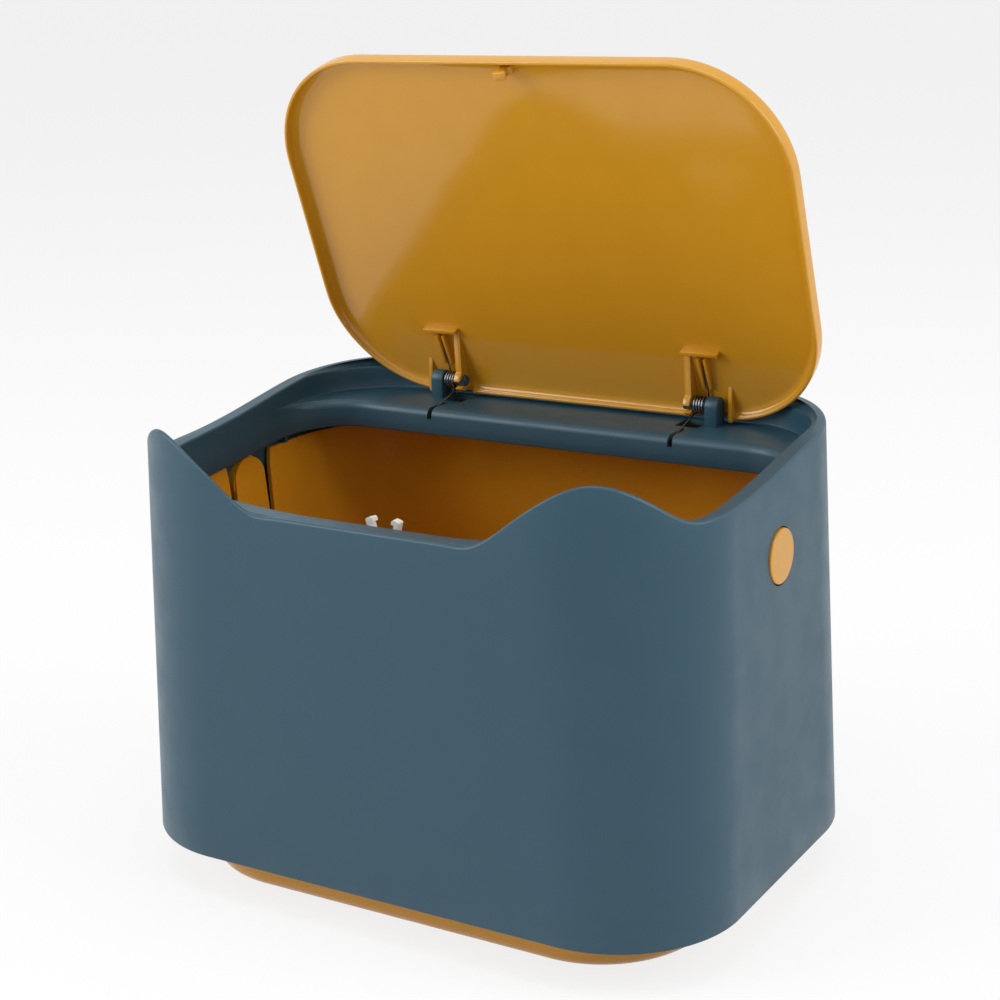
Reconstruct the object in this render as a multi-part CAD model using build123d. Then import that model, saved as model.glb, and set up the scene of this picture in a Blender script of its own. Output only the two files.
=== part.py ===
from build123d import *
import os
from math import acos, atan2, cos, degrees, dist, hypot, pi, radians, sin, sqrt

# Cat litter trash can: a yellow bucket inside a bottomless, cat-eared outer shell with a sprung
# tray lid. Origin at the middle of the footprint on the floor, +Z up, front towards -Y.

# Outer shell, a sleeve whose sides and back narrow upwards while its front stays nearly upright
shell_half_width = 140.0
shell_half_depth = 99.3
shell_corner = 54.0
shell_draft = 0.0282
front_draft = 0.004
front_corner_growth = 0.0327
shell_wall = 2.4
foot_height = 19.0

# Rim of the shell: highest at the back, lower at the sides and front, with a thin ear at each front corner
back_height = 197.0
back_rise = 5.2
front_drop = 19.5
side_drop = 9.5
ear_rise = 8.8
rim_thickness = 2.4
side_rise_front = -50.0
side_rise_back = 96.0
side_steps = [-5.0, 33.0, 63.0]
side_rises = [3.2, 8.8, 12.2]
lead_in_run = 7.0
ear_crest = 3.0
ear_front_slope = 0.9
ear_back_slope = 0.78
ear_tip_radius = 20.0
ear_root_blend = 2.5
ear_peak_angle = 25.5
ear_turn = 40.0
ear_start = 38.0
ear_end = 74.0
ear_front_steps = [-24.0, -14.0, -4.0, 8.0]
ear_back_steps = [40.0, 50.0, 60.0]
dip_height = back_height - front_drop
valley_height = back_height - side_drop
ear_height = back_height + ear_rise

# Mouth, collar and rear shelf of the shell
mouth_inset = 12.4
recess_inset = 10.9
shelf_depth = 36.4
shelf_drop = 10.0
mouth_back_corner = 30.0
collar_corner = 46.7
recess_corner = 45.0
collar_wall = 2.0
collar_slope = 0.09
shelf_plate = 2.4
shelf_nose = 4.0
mouth_half_width = shell_half_width - mouth_inset
mouth_front = mouth_inset - shell_half_depth
recess_back = shell_half_depth - recess_inset
mouth_back = recess_back - shelf_depth
shelf_top = back_height - shelf_drop

# Bucket
bucket_inset = 7.4
bucket_drop = 18.0
foot_side_inset = 19.7
foot_front_inset = 17.3
bucket_top_corner = 50.0
bucket_foot_corner = 49.0
bucket_wall = 2.0
bucket_floor = 2.6
bucket_foot_round = 7.0
collar_overlap = 1.0
rest_rib = 2.4
rest_rib_y = 30.0
rest_rib_x = 38.0
rest_rib_reach = 12.0
rest_gap = 0.3
bucket_rim = shelf_top - bucket_drop
collar_edge = bucket_rim + collar_overlap
bucket_top_half_width = shell_half_width - bucket_inset
bucket_top_half_depth = shell_half_depth - bucket_inset
bucket_foot_half_width = shell_half_width - foot_side_inset
bucket_foot_half_depth = shell_half_depth - foot_front_inset

# Snap tongues with round buttons, cut out of the bucket's two end walls
tongue_y = 2.0
tongue_length = 64.4
tongue_drop = 1.6
tongue_root_half = 12.4
tongue_top_half = 10.6
tongue_arch = 8.5
slot_root = 1.0
slot_top = 5.0
slot_mouth_round = 7.0
slot_corner = 0.6
tongue_gap = 0.4
button_drop = 12.0
button_radius = 11.5
button_proud = 0.8
button_round = 0.6
button_hole_gap = 0.6
tongue_top = bucket_rim - tongue_drop
tongue_root = tongue_top - tongue_length
button_height = bucket_rim - button_drop

# Lid, described closed: u runs forward from the hinge axis and w up, off the lid's underside
hinge_back_gap = 10.4
hinge_rise = 8.5
open_angle = 69.9
closed_angle = -8.0
lid_side_gap = 2.6
lid_front_gap = 2.3
lid_rear = -8.3
lid_lip_plane = -0.95
lid_depth = 8.3
lid_plate = 2.5
lid_lip = 2.5
lid_corner = 50.6
lid_round = 2.5
root_sink = 0.5
hinge_y = recess_back - hinge_back_gap
hinge_z = shelf_top + hinge_rise
lid_half_width = mouth_half_width - lid_side_gap
lid_front = hinge_y - mouth_front - lid_front_gap

# Lid hinge: clip-on arms, knuckles, pins and torsion springs
arm_inner = 58.2
arm_width = 3.2
arm_reach = 26.0
clip_radius = 5.0
clip_mouth = 3.6
clip_lip = 0.4
pin_radius = 2.5
pin_clearance = 0.08
pin_overhang = 1.4
pin_chamfer = 0.4
coil_room = 6.9
knuckle_width = 6.2
knuckle_radius = 4.3
knuckle_end_wall = 1.2
notch_inner_gap = 1.6
notch_outer_gap = 2.7
end_rib = 2.0
end_rib_reach = 9.0
cross_rib = 1.8
cross_rib_height = 3.6
cross_rib_overhang = 1.5
guide_rib = 1.5
guide_rib_height = 3.4
guide_rib_start = 6.5
guide_rib_end = 22.5
guide_gap = 0.5
spring_wire = 0.8
spring_coil_radius = 3.65
spring_pitch = 1.3
spring_turns = 4
spring_side_gap = 0.3
upper_leg = 19.0
leg_slot_width = 2.4
leg_slot_drop = 5.0
leg_slot_length = 15.0
leg_end_inset = 2.0
pocket_side_gap = 2.6
pocket_coil_reach = 5.4
pocket_front_gap = 8.0
pocket_back_gap = 6.0
arm_outer = arm_inner + arm_width
knuckle_inner = arm_outer + coil_room
knuckle_outer = knuckle_inner + knuckle_width
notch_inner = arm_inner - notch_inner_gap
notch_outer = knuckle_outer + notch_outer_gap
leg_end_y = mouth_back + leg_end_inset
leg_end_z = shelf_top - leg_end_inset

# Push latch behind the front rim
latch_inset = 8.9
latch_drop = 9.4
latch_travel = 3.5
jaw_pivot_x = 4.6
jaw_thickness = 2.0
jaw_depth = 3.6
jaw_height = 9.0
jaw_tail = 1.4
jaw_barb = 1.4
jaw_barb_height = 2.0
jaw_chamfer = 0.5
jaw_spread = 16.0
jaw_pin_radius = 0.6
jaw_pin_clearance = 0.06
jaw_slot_gap = 0.3
hook_half_width = 3.0
hook_notch = 1.2
hook_depth = 3.4
hook_head = 2.6
hook_edge = 0.9
hook_gap = 0.55
plunger_half_width = 5.8
plunger_half_depth = 3.6
plunger_floor = 0.35
plunger_length = 14.0
plunger_gap = 0.3
plunger_ear = 1.5
plunger_ear_inner = 3.4
housing_wall = 1.8
housing_rise = 2.3
housing_height = 25.4
housing_mouth = 7.9
housing_mouth_depth = 5.2
ear_half_width = 17.0
ear_thickness = 2.2
ear_bottom_gap = 4.0
ear_top_gap = 4.4
screw_x = 13.2
screw_radius = 1.2
screw_head_radius = 2.3
screw_head = 1.5
screw_clearance = 0.2
screw_bite = 4.0
drive_half_length = 1.5
drive_half_width = 0.35
return_wire = 0.5
return_radius = 1.25
return_turns = 5
return_bore = 1.8
return_bore_depth = 3.0
return_gap = 0.1
guide_wire = 0.4
guide_groove = 1.6
guide_groove_depth = 1.6
guide_offset = 2.8
guide_foot_rise = 3.2
guide_length = 8.8
guide_bend = 1.0
latch_y = mouth_front + latch_inset
jaw_pivot_z = dip_height - latch_drop
housing_top = jaw_pivot_z + housing_rise
housing_bottom = housing_top - housing_height
ear_bottom = housing_bottom + ear_bottom_gap
ear_top = housing_top - ear_top_gap
screw_z = (ear_bottom + ear_top) / 2

# Length that cutting shapes run past what they cut
margin = 30.0

os.makedirs("parts", exist_ok=True)
hinge = Vector(0, hinge_y, hinge_z)


def outline(half_x, front, back, corner_front, corner_back, z):
    """Rounded plan outline with its own front and back corners."""
    return make_face(
        FilletPolyline(
            (half_x, front, z),
            (half_x, back, z),
            (-half_x, back, z),
            (-half_x, front, z),
            radius=[corner_front, corner_back, corner_back, corner_front],
            close=True,
        )
    )


def shell_section(inset, z):
    """Level section of the sleeve, set in from its outer face."""
    rise = z - foot_height
    half_x = shell_half_width - shell_draft * rise - inset
    front = front_draft * rise + inset - shell_half_depth
    back = shell_half_depth - shell_draft * rise - inset
    front_corner = shell_corner + front_corner_growth * rise - inset
    return outline(half_x, front, back, front_corner, shell_corner - inset, z)


def sleeve(inset, bottom, top):
    return loft([shell_section(inset, bottom), shell_section(inset, top)], ruled=True)


def prism(face, top, bottom):
    """Plan face drawn at the bottom height, pulled up to the top height."""
    return extrude(face, amount=top - bottom, dir=(0, 0, 1))


def recess_section(grow, z):
    """Level section of the recess that the closed lid lies in."""
    return outline(
        mouth_half_width + grow,
        mouth_front - grow,
        recess_back + grow,
        collar_corner + grow,
        recess_corner + grow,
        z,
    )


def mouth_prism(grow, bottom, top):
    face = outline(
        mouth_half_width + grow,
        mouth_front - grow,
        mouth_back + grow,
        collar_corner + grow,
        mouth_back_corner + grow,
        bottom,
    )
    return prism(face, top, bottom)


def recess_prism(grow, bottom, top):
    return prism(recess_section(grow, bottom), top, bottom)


def rim_profile(distance, base):
    """Height of an ear's edge at a distance along the outline from its tip."""
    slope = ear_front_slope if distance < 0 else ear_back_slope
    flank = ear_height - slope * (sqrt(distance**2 + ear_tip_radius**2) - ear_tip_radius)
    rise = flank - base
    return base + (rise + sqrt(rise**2 + ear_root_blend**2)) / 2


def ear_points(raised):
    """One front corner's edge, seen along the ear's own direction: distance across it and height."""
    turn = radians(ear_turn)
    rise = valley_height - foot_height
    corner = shell_corner + front_corner_growth * rise
    corner_x = shell_half_width - shell_draft * rise - corner
    front_y = front_draft * rise - shell_half_depth
    tip = corner * radians(ear_peak_angle)

    def across(step):
        angle = max(step, 0.0) / corner
        x = corner_x + min(step, 0.0) + corner * sin(angle)
        y = front_y + corner * (1 - cos(angle))
        return x * cos(turn) + y * sin(turn)

    points = [(across(-ear_start), dip_height)]
    if raised:
        points += [(across(step), rim_profile(step - tip, dip_height)) for step in ear_front_steps]
        points.append((across(tip), ear_height))
        points += [(across(step), rim_profile(step - tip, valley_height)) for step in ear_back_steps]
    points.append((across(ear_end), valley_height))
    return points


def front_cap(lower, raised):
    """Everything above the front rim, with its ears or with the level that they stand on."""
    top = ear_height + margin
    far_x = shell_half_width + margin
    far_y = shell_half_depth + margin
    far = far_x + far_y
    edge = [Vector(across, 0, z - lower) for across, z in ear_points(raised)]
    level = Vector(1, 0, 0)
    loop = [
        Spline(*edge, tangents=[level, level]),
        Polyline(
            edge[-1],
            (far, 0, valley_height - lower),
            (far, 0, top),
            (-far, 0, top),
            (-far, 0, dip_height - lower),
            edge[0],
        ),
    ]
    ear = Rot(0, 0, ear_turn) * extrude(make_face(loop), amount=far, dir=(0, 1, 0), both=True)
    ear = ear & box(0, far_x, -far_y, side_rise_front, 0, top)
    return ear + mirror(ear, about=Plane.YZ)


def rim_cap(lower, raised):
    """Everything above the rim line, moved down by the given amount."""
    top = ear_height + margin
    far_x = shell_half_width + margin
    far_y = shell_half_depth + margin
    back_top = back_height + back_rise - lower
    rise = [Vector(0, side_rise_front, valley_height - lower)]
    rise += [Vector(0, y, valley_height + step - lower) for y, step in zip(side_steps, side_rises)]
    rise.append(Vector(0, side_rise_back, back_top))
    backward = Vector(0, 1, 0)
    side_loop = [
        Spline(*rise, tangents=[backward, backward]),
        Polyline(
            rise[-1],
            (0, far_y, back_top),
            (0, far_y, top),
            (0, side_rise_front, top),
            rise[0],
        ),
    ]
    sides = extrude(make_face(side_loop), amount=far_x, dir=(1, 0, 0), both=True)
    return front_cap(lower, raised) + sides


def half_space_below(height, slope):
    """Everything under a plane that rises towards the back."""
    far = shell_half_width + shell_half_depth
    face = make_face(
        Polyline(
            (0, -far, -far),
            (0, far, -far),
            (0, far, height + slope * far),
            (0, -far, height - slope * far),
            (0, -far, -far),
        )
    )
    return extrude(face, amount=far, dir=(1, 0, 0), both=True)


def box(x0, x1, y0, y1, z0, z1):
    return Pos((x0 + x1) / 2, (y0 + y1) / 2, (z0 + z1) / 2) * Box(abs(x1 - x0), y1 - y0, z1 - z0)


def rod_x(x0, x1, y, z, radius):
    return Pos((x0 + x1) / 2, y, z) * Rot(0, 90, 0) * Cylinder(radius, abs(x1 - x0))


def rod_y(x, y0, y1, z, radius):
    return Pos(x, (y0 + y1) / 2, z) * Rot(90, 0, 0) * Cylinder(radius, y1 - y0)


def save(name, shape):
    shape.label = name
    export_step(shape, f"parts/{name}.step")


# Bucket wall, tapering down to the foot


def bucket_section(inset, z):
    share = z / bucket_rim
    half_x = bucket_foot_half_width + share * (bucket_top_half_width - bucket_foot_half_width) - inset
    half_y = bucket_foot_half_depth + share * (bucket_top_half_depth - bucket_foot_half_depth) - inset
    corner = bucket_foot_corner + share * (bucket_top_corner - bucket_foot_corner) - inset
    return outline(half_x, -half_y, half_y, corner, corner, z)


def bucket_block(inset, bottom):
    return loft([bucket_section(inset, bottom), bucket_section(inset, bucket_rim)], ruled=True)


def tongue_window():
    """Side view of the opening round a tongue: narrow slots that flare to the bucket's rim."""
    root_half = tongue_root_half + slot_root
    top_half = tongue_top_half + slot_top
    lift = bucket_rim + margin
    corner = top_half + slot_mouth_round
    return make_face(
        FilletPolyline(
            (0, tongue_y - root_half, tongue_root - tongue_gap),
            (0, tongue_y - top_half, bucket_rim - slot_mouth_round),
            (0, tongue_y - corner, lift),
            (0, tongue_y + corner, lift),
            (0, tongue_y + top_half, bucket_rim - slot_mouth_round),
            (0, tongue_y + root_half, tongue_root - tongue_gap),
            radius=[slot_corner, 2 * slot_mouth_round, 1.0, 1.0, 2 * slot_mouth_round, slot_corner],
            close=True,
        )
    )


def tongue_face():
    """Side view of a tongue, arched at its top."""
    return make_face(
        FilletPolyline(
            (0, tongue_y + tongue_root_half, tongue_root),
            (0, tongue_y + tongue_top_half, tongue_top),
            (0, tongue_y - tongue_top_half, tongue_top),
            (0, tongue_y - tongue_root_half, tongue_root),
            radius=[slot_corner, tongue_arch, tongue_arch, slot_corner],
            close=True,
        )
    )


wall_reach = margin
bucket_outer = bucket_block(0, 0)
bucket_foot_edges = bucket_outer.edges().group_by(Axis.Z)[0]
bucket_outer = fillet(bucket_foot_edges, bucket_foot_round)
bucket_inner = bucket_block(bucket_wall, bucket_floor)
bucket_inner = fillet(bucket_inner.edges().group_by(Axis.Z)[0], bucket_foot_round - bucket_wall)
bucket = bucket_outer - bucket_inner
for side in (-1, 1):
    window = extrude(tongue_window(), amount=wall_reach, dir=(1, 0, 0), both=True)
    bucket = bucket - Pos(side * bucket_top_half_width, 0, 0) * window


# Snap tongues and their buttons
def snap_tongue(side):
    reach = tongue_root_half + margin
    wall_line = [
        (bucket_foot_half_width, -reach, 0),
        (bucket_top_half_width, -reach, bucket_rim),
        (bucket_top_half_width - bucket_wall, -reach, bucket_rim),
        (bucket_foot_half_width - bucket_wall, -reach, 0),
    ]
    end_wall = extrude(make_face(Polyline(*wall_line, close=True)), amount=2 * reach, dir=(0, 1, 0))
    strip = extrude(tongue_face(), amount=wall_reach, dir=(1, 0, 0), both=True)
    strip = Pos(bucket_top_half_width, 0, 0) * strip
    share = button_height / bucket_rim
    wall_x = bucket_foot_half_width + share * (bucket_top_half_width - bucket_foot_half_width)
    face_x = shell_half_width - shell_draft * (button_height - foot_height) + button_proud
    disc = rod_x(wall_x - bucket_wall / 2, face_x, tongue_y, button_height, button_radius)
    disc = fillet(disc.edges().sort_by(Axis.X)[-1], button_round)
    tongue = (end_wall & strip) + disc
    return tongue if side > 0 else mirror(tongue, about=Plane.YZ)


# Outer shell: one block under the rim line, hollowed to its skin, turned-over rim, collar and shelf
sky = ear_height + margin
block = sleeve(0, foot_height, sky) - rim_cap(0, True)
block = block - (sleeve(ear_crest, foot_height, sky) & front_cap(0, False))
block = block - recess_prism(0, shelf_top, sky)
lead_in_top = recess_section(lead_in_run, back_height + lead_in_run)
lead_in = loft([recess_section(0, back_height), lead_in_top], ruled=True)
block = block - (lead_in & box(-shell_half_width, shell_half_width, 0, shell_half_depth, 0, sky))
block = block - mouth_prism(0, 0, sky)
under_rim = sleeve(shell_wall, foot_height, sky) - rim_cap(rim_thickness, False)
block = block - (under_rim - recess_prism(collar_wall, 0, sky))
lip = mouth_prism(collar_wall, 0, shelf_top) - half_space_below(collar_edge, collar_slope)
lip = lip + mouth_prism(shelf_nose + 1.0, shelf_top - shelf_nose - 1.0, shelf_top)
shell = block - (recess_prism(collar_wall, 0, shelf_top - shelf_plate) - lip)

# Rounded front edge of the shelf
nose_slab = mouth_prism(shelf_nose, shelf_top - shelf_nose, shelf_top) - mouth_prism(0, 0, sky)
nose_ring = mouth_prism(shelf_nose + 1.0, shelf_top - shelf_nose - 1.0, shelf_top) - mouth_prism(0, 0, sky)
nose_ring = fillet(nose_ring.faces().sort_by(Axis.Z)[-1].inner_wires()[0].edges(), shelf_nose)
nose_waste = (nose_slab - nose_ring) & recess_prism(0, 0, sky)
shell = shell - nose_waste

# Ribs under the rim that carry the shell on the bucket's rim
rib_bottom = bucket_rim + rest_gap
channel = sleeve(shell_wall / 2, foot_height, sky) - recess_prism(collar_wall / 2, 0, sky)
rib_room = channel - rim_cap(rim_thickness / 2, False)
for rib_x in (-mouth_half_width, mouth_half_width):
    for rib_y in (-rest_rib_y, rest_rib_y):
        x0, x1 = rib_x - rest_rib_reach, rib_x + rest_rib_reach
        rib = box(x0, x1, rib_y - rest_rib / 2, rib_y + rest_rib / 2, rib_bottom, sky)
        shell = shell + (rib & rib_room)
for rib_x in (-rest_rib_x, rest_rib_x):
    for rib_y in (mouth_front, recess_back):
        y0, y1 = rib_y - rest_rib_reach, rib_y + rest_rib_reach
        rib = box(rib_x - rest_rib / 2, rib_x + rest_rib / 2, y0, y1, rib_bottom, sky)
        shell = shell + (rib & rib_room)

# Button holes
hole_radius = button_radius + button_hole_gap
for side in (-1, 1):
    hole_start = side * (shell_half_width - bucket_inset + rest_gap)
    shell = shell - rod_x(hole_start, side * shell_half_width, tongue_y, button_height, hole_radius)

# Hinge knuckles, pin bores, leg slots and pockets on the shelf
for side in (-1, 1):
    stem = box(
        side * knuckle_inner,
        side * knuckle_outer,
        hinge_y - knuckle_radius,
        hinge_y + knuckle_radius,
        shelf_top - shelf_plate / 2,
        hinge_z,
    )
    eye = rod_x(side * knuckle_inner, side * knuckle_outer, hinge_y, hinge_z, knuckle_radius)
    bore_end = side * (knuckle_outer - knuckle_end_wall)
    shell = shell + stem + eye
    shell = shell - rod_x(side * knuckle_inner, bore_end, hinge_y, hinge_z, pin_radius)
    coil_start = arm_outer + spring_side_gap + spring_wire / 2
    leg_x = side * coil_start
    shell = shell - box(
        leg_x - leg_slot_width / 2,
        leg_x + leg_slot_width / 2,
        mouth_back - 1,
        mouth_back + leg_slot_length,
        shelf_top - leg_slot_drop,
        shelf_top + 1,
    )
    shell = shell - box(
        side * (arm_inner - pocket_side_gap),
        side * (arm_outer + pocket_coil_reach),
        hinge_y - pocket_front_gap,
        hinge_y + pocket_back_gap,
        shelf_top - shelf_plate - 1,
        shelf_top + 1,
    )

# Boss on the collar for the latch, with two screw holes
housing_front = latch_y - plunger_half_depth - plunger_gap - housing_wall
boss = box(
    -ear_half_width, ear_half_width, mouth_front - collar_wall / 2, housing_front, ear_bottom, ear_top
)
shell = shell + boss
ear_back = housing_front + ear_thickness
screw_end = housing_front - screw_bite
for side in (-1, 1):
    shell = shell - rod_y(side * screw_x, screw_end, housing_front, screw_z, screw_radius)


# Lid, built closed and level in u and w, then turned to its open rest position
def lid_plan(grow, w):
    front = lid_front + grow
    rear = lid_rear - grow
    half = lid_half_width + grow
    corner = lid_corner + grow
    face = RectangleRounded(2 * half, front - rear, corner)
    return Pos(0, (front + rear) / 2, w) * face


lid_top = lid_lip_plane + lid_depth
plate_under = lid_top - lid_plate
lid = extrude(lid_plan(0, lid_lip_plane), amount=lid_depth)
lid = fillet(lid.edges().group_by(Axis.Z)[-1], lid_round)
lid = lid - extrude(lid_plan(-lid_lip, lid_lip_plane), amount=lid_depth - lid_plate)
for side in (-1, 1):
    notch_front = lid_rear + lid_lip + root_sink
    lid = lid - box(
        side * notch_inner, side * notch_outer, lid_rear - 1, notch_front, lid_lip_plane - 1, plate_under
    )


def upright(points, x0, x1):
    """Flat plate standing on the lid's underside, drawn in u and w."""
    loop = [(x0, u, w) for u, w in points]
    return extrude(make_face(Polyline(*loop, close=True)), amount=x1 - x0, dir=(1, 0, 0))


def hinge_arm(side):
    """Triangular arm with a clip that springs open over the pin."""
    root = plate_under + root_sink
    gusset = upright(
        [(arm_reach, root), (-clip_radius, root), (-clip_radius, 0), (0, -1), (clip_radius - clip_lip, -1)],
        side * arm_inner,
        side * arm_outer,
    )
    arm = gusset + rod_x(side * arm_inner, side * arm_outer, 0, 0, clip_radius)
    arm = arm - rod_x(side * arm_inner, side * arm_outer, 0, 0, pin_radius + pin_clearance)
    mouth = box(side * arm_inner, side * arm_outer, -clip_mouth / 2, clip_mouth / 2, -2 * clip_radius, 0)
    return arm - mouth


for side in (-1, 1):
    lid = lid + hinge_arm(side)
    rib_points = [
        (lid_rear + lid_lip / 2, lid_lip_plane),
        (lid_rear + lid_lip, lid_lip_plane),
        (end_rib_reach, plate_under + root_sink),
        (lid_rear + lid_lip / 2, plate_under + root_sink),
    ]
    lid = lid + upright(rib_points, side * notch_outer, side * (notch_outer + end_rib))
    lid = lid + box(
        side * arm_inner,
        side * (knuckle_outer + cross_rib_overhang),
        arm_reach - cross_rib,
        arm_reach,
        plate_under - cross_rib_height,
        plate_under + root_sink,
    )
    leg_x = knuckle_inner - spring_side_gap - spring_wire / 2
    for guide_start in (leg_x - guide_gap - spring_wire / 2 - guide_rib, leg_x + guide_gap + spring_wire / 2):
        guide_points = [
            (guide_rib_start, plate_under - guide_rib_height / 2),
            (guide_rib_end, plate_under - guide_rib_height),
            (guide_rib_end, plate_under + root_sink),
            (guide_rib_start, plate_under + root_sink),
        ]
        lid = lid + upright(guide_points, side * guide_start, side * (guide_start + guide_rib))

# Striker hook at the middle of the lid's free edge, sized to the closed jaws
hook_u = (hinge_y - latch_y) / cos(radians(closed_angle))
closed_jaw_base = jaw_pivot_z - latch_travel
shoulder_z = closed_jaw_base + jaw_height - jaw_barb_height - hook_gap
hook_root_z = hinge_z + hook_u * sin(radians(closed_angle)) + plate_under * cos(radians(closed_angle))
hook_shoulder = plate_under - (hook_root_z - shoulder_z) / cos(radians(closed_angle))
hook_tip = hook_shoulder - hook_head
neck_top = hook_shoulder + jaw_barb_height + 3 * hook_gap
neck = hook_half_width - hook_notch
hook_half = [
    (hook_half_width, plate_under + root_sink),
    (hook_half_width, neck_top + hook_notch),
    (neck, neck_top),
    (neck, hook_shoulder),
    (hook_half_width, hook_shoulder),
    (hook_half_width, hook_shoulder - hook_edge),
    (neck, hook_tip),
]
hook_loop = [(x, hook_u - hook_depth / 2, w) for x, w in hook_half]
hook_loop = hook_loop + [(-x, u, w) for x, u, w in reversed(hook_loop)]
hook = extrude(make_face(Polyline(*hook_loop, close=True)), amount=hook_depth, dir=(0, 1, 0))
lid = lid + hook


def lid_place(shape, angle):
    """From u and w to the part's frame, with the lid raised by an angle from level."""
    return Pos(hinge) * Rot(0, 0, 180) * Rot(angle, 0, 0) * shape


lid_open = lid_place(lid, open_angle)

# Hinge pins, pressed into the knuckles
pins = {}
for side, word in ((-1, "left"), (1, "right")):
    tail = arm_inner - pin_overhang
    pin = rod_x(side * tail, side * (knuckle_outer - knuckle_end_wall), hinge_y, hinge_z, pin_radius)
    pins[word] = chamfer(pin.edges().filter_by(GeomType.CIRCLE), pin_chamfer)


# Torsion springs
def tangent_pair(start, start_way, end, end_way):
    """Two arcs that leave one point along a direction and reach the next along another."""
    chord = end - start
    both = start_way + end_way
    spread = 2 * (1 - start_way.dot(end_way))
    along = chord.dot(both)
    reach = (sqrt(along**2 + spread * chord.dot(chord)) - along) / spread
    first = start + start_way * reach
    last = end - end_way * reach
    middle = (first + last) * 0.5
    return [
        TangentArc(start, middle, tangent=start_way),
        TangentArc(middle, end, tangent=(last - first).normalized()),
    ]


def helix(start_angle, total, radius, pitch):
    """Arcs of a coil about X from x = 0 in quarter turns, with square ends, and its place and way."""
    count = round(total / 90)

    def at(share):
        angle = radians(start_angle + total * share)
        return Vector(pitch * total / 360 * share, radius * cos(angle), radius * sin(angle))

    def way(share):
        angle = radians(start_angle + total * share)
        lead = pitch / (2 * pi) if 0 < share < 1 else 0.0
        return Vector(lead, -radius * sin(angle), radius * cos(angle)).normalized()

    arcs = []
    for index in range(count):
        start, end = index / count, (index + 1) / count
        arcs = arcs + tangent_pair(at(start), way(start), at(end), way(end))
    return arcs, at, way


def least_gap(path, thickness):
    """Least clear gap of a wire to itself, by points along its middle line."""
    spacing = thickness / 3
    count = round(path.length / spacing)
    points = [path @ (index / count) for index in range(count + 1)]
    points = [(point.X, point.Y, point.Z) for point in points]
    skip = round(6 * thickness / spacing)
    best = path.length
    for index, first in enumerate(points):
        for second in points[index + skip :]:
            best = min(best, dist(first, second))
    return best - thickness


def torsion_spring(side):
    foot = Vector(0, leg_end_y - hinge_y, leg_end_z - hinge_z)
    reach = hypot(foot.Y, foot.Z)
    start = degrees(atan2(foot.Z, foot.Y)) + degrees(acos(spring_coil_radius / reach))
    finish = 90.0 - open_angle
    total = finish - start + 360.0 * spring_turns
    arcs, at, way = helix(start, total, spring_coil_radius, spring_pitch)
    lower_leg = sqrt(reach**2 - spring_coil_radius**2)
    low_end = at(0) - way(0) * lower_leg
    path = Wire([Line(low_end, at(0))] + arcs + [Line(at(1), at(1) + way(1) * upper_leg)])
    section = Plane(origin=low_end, z_dir=way(0)) * Circle(spring_wire / 2)
    coil = sweep(section, path=path)
    gap = least_gap(path, spring_wire)
    coil = Pos(arm_outer + spring_side_gap + spring_wire / 2, hinge_y, hinge_z) * coil
    if side < 0:
        coil = mirror(coil, about=Plane.YZ)
    return coil, gap


# Push latch behind the front rim: a housing screwed to the boss, with a sprung plunger in it
plunger_top = jaw_pivot_z - plunger_floor
plunger_bottom = plunger_top - plunger_length
plunger_ear_top = jaw_pivot_z + plunger_ear
pocket_floor = housing_bottom + housing_wall
channel_half_width = plunger_half_width + plunger_gap
channel_half_depth = plunger_half_depth + plunger_gap
housing_half_width = channel_half_width + housing_wall
housing_back = latch_y + channel_half_depth + housing_wall


def latch_box(half_x, half_y, z0, z1):
    """Block centred on the latch's upright axis."""
    return box(-half_x, half_x, latch_y - half_y, latch_y + half_y, z0, z1)


housing = latch_box(housing_half_width, channel_half_depth + housing_wall, housing_bottom, housing_top)
housing = housing + box(-ear_half_width, ear_half_width, housing_front, ear_back, ear_bottom, ear_top)
housing = housing - latch_box(channel_half_width, channel_half_depth, pocket_floor, housing_top + 1)
mouth_floor = housing_top - housing_mouth_depth
housing = housing - latch_box(housing_mouth, channel_half_depth, mouth_floor, housing_top + 1)
for side in (-1, 1):
    screw_hole = screw_radius + screw_clearance
    housing = housing - rod_y(side * screw_x, housing_front - 1, ear_back + 1, screw_z, screw_hole)

# Plunger: a platform between four small ears that hold the jaws' pins
plunger = latch_box(plunger_half_width, plunger_half_depth, plunger_bottom, plunger_ear_top)
plunger = plunger - latch_box(plunger_ear_inner, plunger_half_depth + 1, plunger_top, plunger_ear_top + 1)
slot_inner = jaw_pivot_x - jaw_thickness / 2 - jaw_barb
slot_half_depth = jaw_depth / 2 + jaw_slot_gap
slot_floor = jaw_pivot_z - jaw_tail - 3 * jaw_slot_gap
for side in (-1, 1):
    plunger = plunger - box(
        side * slot_inner,
        side * (plunger_half_width + 1),
        latch_y - slot_half_depth,
        latch_y + slot_half_depth,
        slot_floor,
        plunger_ear_top + 1,
    )

# Bore for the return spring and groove for the pin that guides the plunger
guide_foot_z = housing_bottom + guide_foot_rise
guide_top = guide_foot_z + guide_length
bore_top = plunger_bottom + return_bore_depth
bore = Cylinder(return_bore, return_bore_depth)
plunger = plunger - Pos(0, latch_y, (plunger_bottom + bore_top) / 2) * bore
groove_start = latch_y + plunger_half_depth - guide_groove_depth
groove_half = guide_groove / 2
groove_top = guide_top + latch_travel + 1
plunger = plunger - box(-groove_half, groove_half, groove_start, housing_back, plunger_bottom - 1, groove_top)

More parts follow.
